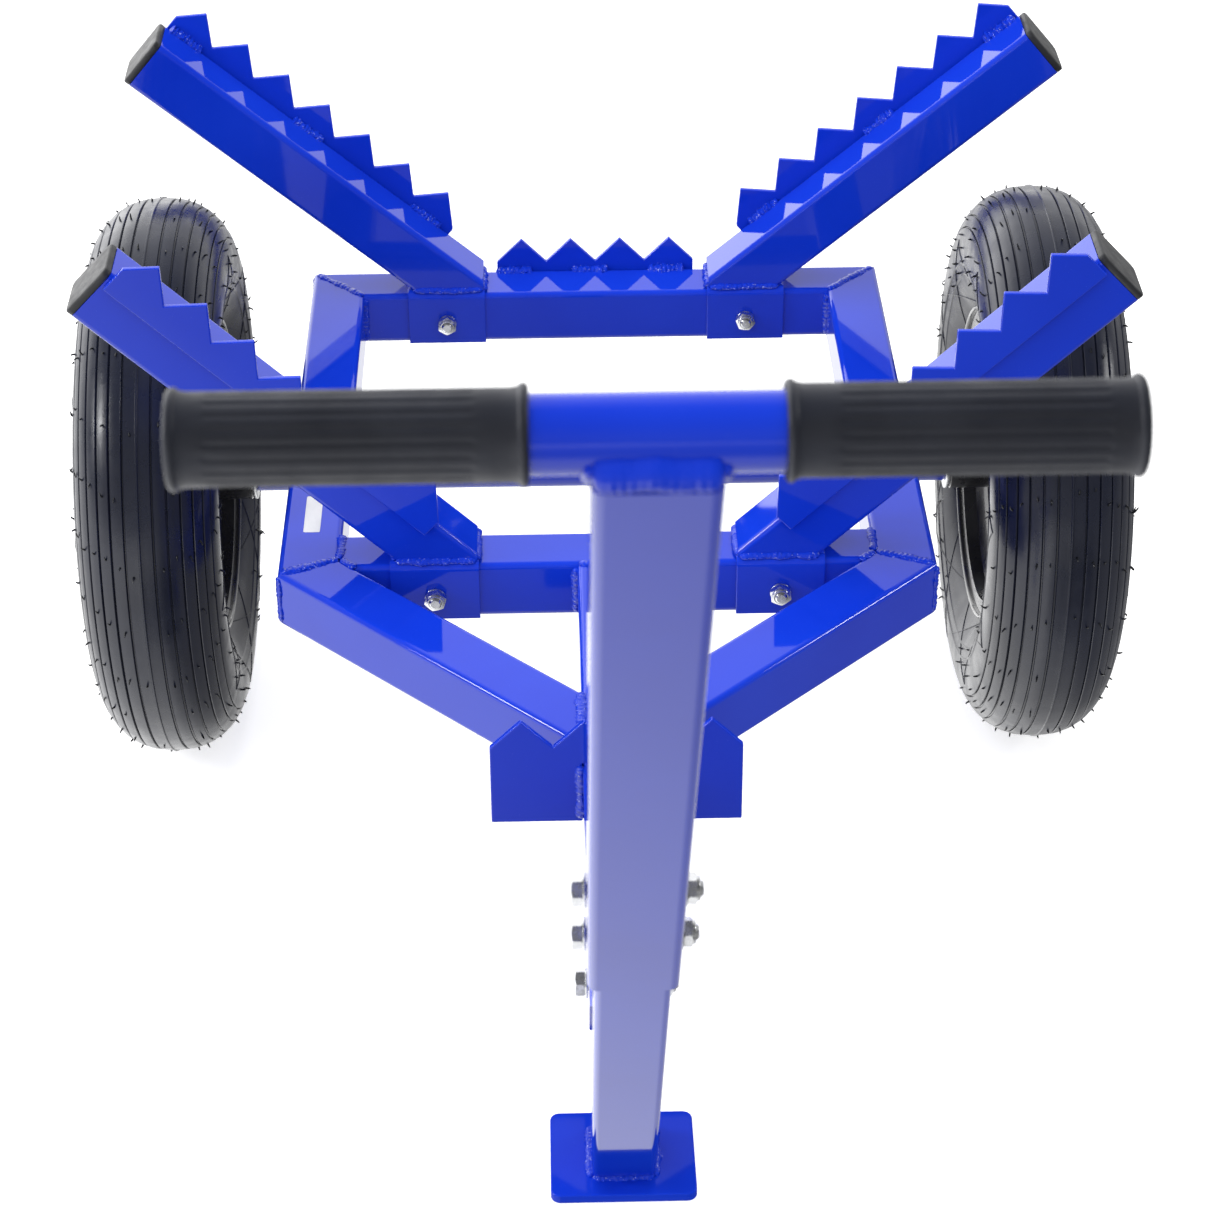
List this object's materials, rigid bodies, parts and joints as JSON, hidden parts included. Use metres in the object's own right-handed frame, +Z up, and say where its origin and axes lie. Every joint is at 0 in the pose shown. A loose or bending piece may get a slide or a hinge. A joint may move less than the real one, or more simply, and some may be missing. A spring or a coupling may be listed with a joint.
{
  "type": "two-wheel log dolly",
  "caption": "Hand-pulled log dolly: square-tube frame on an axle with pneumatic wheels, toothed V cradles, and a raked leg with foot plate and T-bar handle.",
  "frame": {"origin": "on the ground, in the middle of the foot plate underside", "axes": "+Z up, +X towards the right wheel, +Y to the rear; the handle is at -Y"},
  "size_m": [0.738, 1.3001, 0.7504],
  "materials": {
    "blue_paint": "glossy blue powder coat with light orange peel",
    "zinc": "bright zinc plating",
    "tyre_rubber": "new ribbed rubber, slightly blue-black",
    "black_paint": "gloss black paint",
    "black_plastic": "moulded black plastic",
    "grip_rubber": "matte black rubber",
    "bearing_steel": "ground steel"
  },
  "bodies": {
    "chassis": {"left_rail": "blue_paint", "right_rail": "blue_paint", "rear_crossbar": "blue_paint", "front_crossbar": "blue_paint", "left_brace": "blue_paint", "right_brace": "blue_paint", "tongue": "blue_paint", "rear_tooth_plate": "blue_paint", "front_tooth_plate": "blue_paint", "axle": "blue_paint", "rear_left_saddle": "blue_paint", "rear_left_tooth_plate": "blue_paint", "rear_left_arm": "blue_paint", "rear_left_end_cap": "black_plastic", "rear_left_saddle_bolt": "zinc", "rear_left_saddle_nut": "zinc", "rear_right_saddle": "blue_paint", "rear_right_tooth_plate": "blue_paint", "rear_right_arm": "blue_paint", "rear_right_end_cap": "black_plastic", "rear_right_saddle_bolt": "zinc", "rear_right_saddle_nut": "zinc", "front_left_saddle": "blue_paint", "front_left_tooth_plate": "blue_paint", "front_left_arm": "blue_paint", "front_left_end_cap": "black_plastic", "front_left_saddle_bolt": "zinc", "front_left_saddle_nut": "zinc", "front_right_saddle": "blue_paint", "front_right_tooth_plate": "blue_paint", "front_right_arm": "blue_paint", "front_right_end_cap": "black_plastic", "front_right_saddle_bolt": "zinc", "front_right_saddle_nut": "zinc", "tongue_bolt": "zinc", "tongue_nut": "zinc", "support_leg": "blue_paint", "handle_post": "blue_paint", "t_bar": "blue_paint", "left_grip": "grip_rubber", "right_grip": "grip_rubber", "lower_post_bolt": "zinc", "lower_post_nut": "zinc", "upper_post_bolt": "zinc", "upper_post_nut": "zinc", "foot_plate": "blue_paint", "left_inner_washer": "zinc", "left_axle_nut": "zinc", "right_inner_washer": "zinc", "right_axle_nut": "zinc"},
    "left_wheel": {"left_tyre": "tyre_rubber", "left_rim": "black_paint", "left_hub": "black_paint", "left_inner_bearing": "bearing_steel", "left_outer_bearing": "bearing_steel"},
    "right_wheel": {"right_tyre": "tyre_rubber", "right_rim": "black_paint", "right_hub": "black_paint", "right_inner_bearing": "bearing_steel", "right_outer_bearing": "bearing_steel"}
  },
  "joints": [
    {"name": "left_wheel_spin", "type": "hinge", "parent": "chassis", "child": "left_wheel", "pos_m": [-0.307, 0.53536, 0.197], "axis": [1, 0, 0], "continuous": true},
    {"name": "right_wheel_spin", "type": "hinge", "parent": "chassis", "child": "right_wheel", "pos_m": [0.307, 0.53536, 0.197], "axis": [1, 0, 0], "continuous": true}
  ]
}
